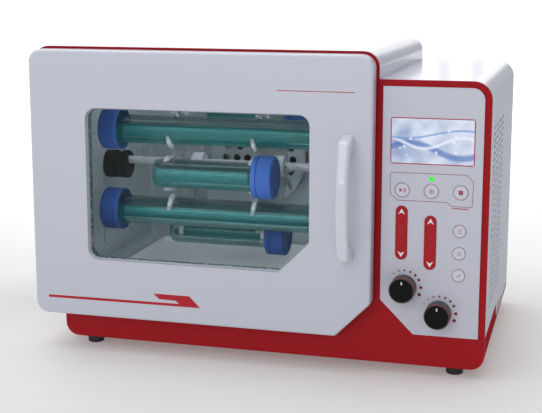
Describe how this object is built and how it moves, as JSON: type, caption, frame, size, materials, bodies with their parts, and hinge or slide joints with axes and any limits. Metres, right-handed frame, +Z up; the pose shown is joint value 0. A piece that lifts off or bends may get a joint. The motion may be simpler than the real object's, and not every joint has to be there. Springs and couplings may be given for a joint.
{
  "type": "hybridization oven",
  "caption": "Bench hybridization oven with a windowed door, a turning bottle rotor, a circulation fan and a side control box with knobs and keys.",
  "frame": {"origin": "on the bench, under the middle of the oven's bounding box", "axes": "+X to the right seen from the front, +Y towards the back, +Z up; the door faces -Y"},
  "size_m": [0.5254, 0.3794, 0.3555],
  "materials": {
    "red_paint": "gloss",
    "white_paint": "gloss",
    "white_plastic": "gloss",
    "stainless": "satin",
    "shaft_steel": "satin",
    "zinc_steel": "bright",
    "wool": "matte",
    "rubber_black": "matte",
    "silicone_grey": "matte",
    "glass_clear": "gloss",
    "bottle_glass": "gloss",
    "liquid_teal": "gloss",
    "cap_blue": "satin",
    "acrylic": "gloss",
    "black_plastic": "satin",
    "grey_plastic": "satin",
    "white_key": "satin",
    "red_plastic": "gloss",
    "screen_glass": "gloss",
    "screen_module": "matte",
    "board_green": "satin",
    "led_green": "gloss",
    "cast_alloy": "satin"
  },
  "bodies": {
    "oven": {"front_fascia": "red_paint", "chamber_housing": "white_paint", "control_housing": "white_paint", "base_tray": "red_paint", "rear_panel": "white_paint", "rear_screws": "zinc_steel", "rubber_feet": "rubber_black", "chamber_liner": "stainless", "chamber_insulation": "wool", "drip_tray": "stainless", "fan_guard": "stainless", "fan_motor": "black_plastic", "heating_element": "shaft_steel", "temperature_probe": "zinc_steel", "body_hinge_leaves": "zinc_steel", "hinge_pins": "zinc_steel", "control_plate": "white_plastic", "display_glass": "screen_glass", "display_module": "screen_module", "control_board": "board_green", "status_led": "led_green", "potentiometers": "zinc_steel", "bearing_block": "black_plastic", "gear_motor": "cast_alloy", "power_supply": "cast_alloy", "power_inlet": "black_plastic"},
    "door": {"door_frame": "white_paint", "door_inner_panel": "stainless", "door_insulation": "wool", "window_panes": "glass_clear", "pane_spacer": "rubber_black", "door_gasket": "silicone_grey", "door_handle": "white_plastic", "door_magnets": "zinc_steel", "door_hinge_leaves": "zinc_steel"},
    "rotor": {"rotor_shaft": "shaft_steel", "shaft_collar": "black_plastic", "drive_coupling": "black_plastic", "clip_plates": "acrylic", "clip_hubs": "white_plastic", "long_bottles": "bottle_glass", "short_bottles": "bottle_glass", "bottle_caps": "cap_blue", "bottle_liquid": "liquid_teal"},
    "fan": {"fan_impeller": "black_plastic"},
    "key_top_1": {"key_top_1": "white_key"},
    "key_top_2": {"key_top_2": "white_key"},
    "key_top_3": {"key_top_3": "white_key"},
    "key_side_1": {"key_side_1": "white_key"},
    "key_side_2": {"key_side_2": "white_key"},
    "key_side_3": {"key_side_3": "white_key"},
    "rocker_left": {"rocker_left": "red_plastic"},
    "rocker_right": {"rocker_right": "red_plastic"},
    "knob_left": {"knob_left_body": "grey_plastic", "knob_left_cap": "black_plastic", "knob_left_shaft": "cast_alloy"},
    "knob_right": {"knob_right_body": "grey_plastic", "knob_right_cap": "black_plastic", "knob_right_shaft": "cast_alloy"},
    "power_switch": {"power_switch": "black_plastic"}
  },
  "joints": [
    {"name": "door_hinge", "type": "hinge", "parent": "oven", "child": "door", "pos_m": [-0.261, -0.1367, 0.083], "axis": [0, 0, -1], "range_deg": [0, 110]},
    {"name": "rotor_spin", "type": "hinge", "parent": "oven", "child": "rotor", "pos_m": [-0.234, 0.01829, 0.201], "axis": [1, 0, 0], "continuous": true},
    {"name": "fan_spin", "type": "hinge", "parent": "oven", "child": "fan", "pos_m": [-0.07, 0.16329, 0.19], "axis": [0, 1, 0], "continuous": true},
    {"name": "key_top_1_press", "type": "slide", "parent": "oven", "child": "key_top_1", "axis": [0, 1, 0], "range_m": [0, 0.0008], "stiffness_N_per_m": 500},
    {"name": "key_top_2_press", "type": "slide", "parent": "oven", "child": "key_top_2", "axis": [0, 1, 0], "range_m": [0, 0.0008], "stiffness_N_per_m": 500},
    {"name": "key_top_3_press", "type": "slide", "parent": "oven", "child": "key_top_3", "axis": [0, 1, 0], "range_m": [0, 0.0008], "stiffness_N_per_m": 500},
    {"name": "key_side_1_press", "type": "slide", "parent": "oven", "child": "key_side_1", "axis": [0, 1, 0], "range_m": [0, 0.0008], "stiffness_N_per_m": 500},
    {"name": "key_side_2_press", "type": "slide", "parent": "oven", "child": "key_side_2", "axis": [0, 1, 0], "range_m": [0, 0.0008], "stiffness_N_per_m": 500},
    {"name": "key_side_3_press", "type": "slide", "parent": "oven", "child": "key_side_3", "axis": [0, 1, 0], "range_m": [0, 0.0008], "stiffness_N_per_m": 500},
    {"name": "rocker_left_tilt", "type": "hinge", "parent": "oven", "child": "rocker_left", "pos_m": [0.16974, -0.1322, 0.16], "axis": [1, 0, 0], "range_deg": [-2.5, 2.5], "stiffness_Nm_per_rad": 0.8},
    {"name": "rocker_right_tilt", "type": "hinge", "parent": "oven", "child": "rocker_right", "pos_m": [0.20114, -0.1322, 0.1506], "axis": [1, 0, 0], "range_deg": [-2.5, 2.5], "stiffness_Nm_per_rad": 0.8},
    {"name": "knob_left_turn", "type": "hinge", "parent": "oven", "child": "knob_left", "pos_m": [0.17353, -0.1364, 0.0995], "axis": [0, 1, 0], "range_deg": [-150, 150]},
    {"name": "knob_right_turn", "type": "hinge", "parent": "oven", "child": "knob_right", "pos_m": [0.21212, -0.1364, 0.07299], "axis": [0, 1, 0], "range_deg": [-150, 150]},
    {"name": "power_switch_tilt", "type": "hinge", "parent": "oven", "child": "power_switch", "pos_m": [0.2037, 0.18379, 0.102], "axis": [-1, 0, 0], "range_deg": [0, 16]}
  ]
}
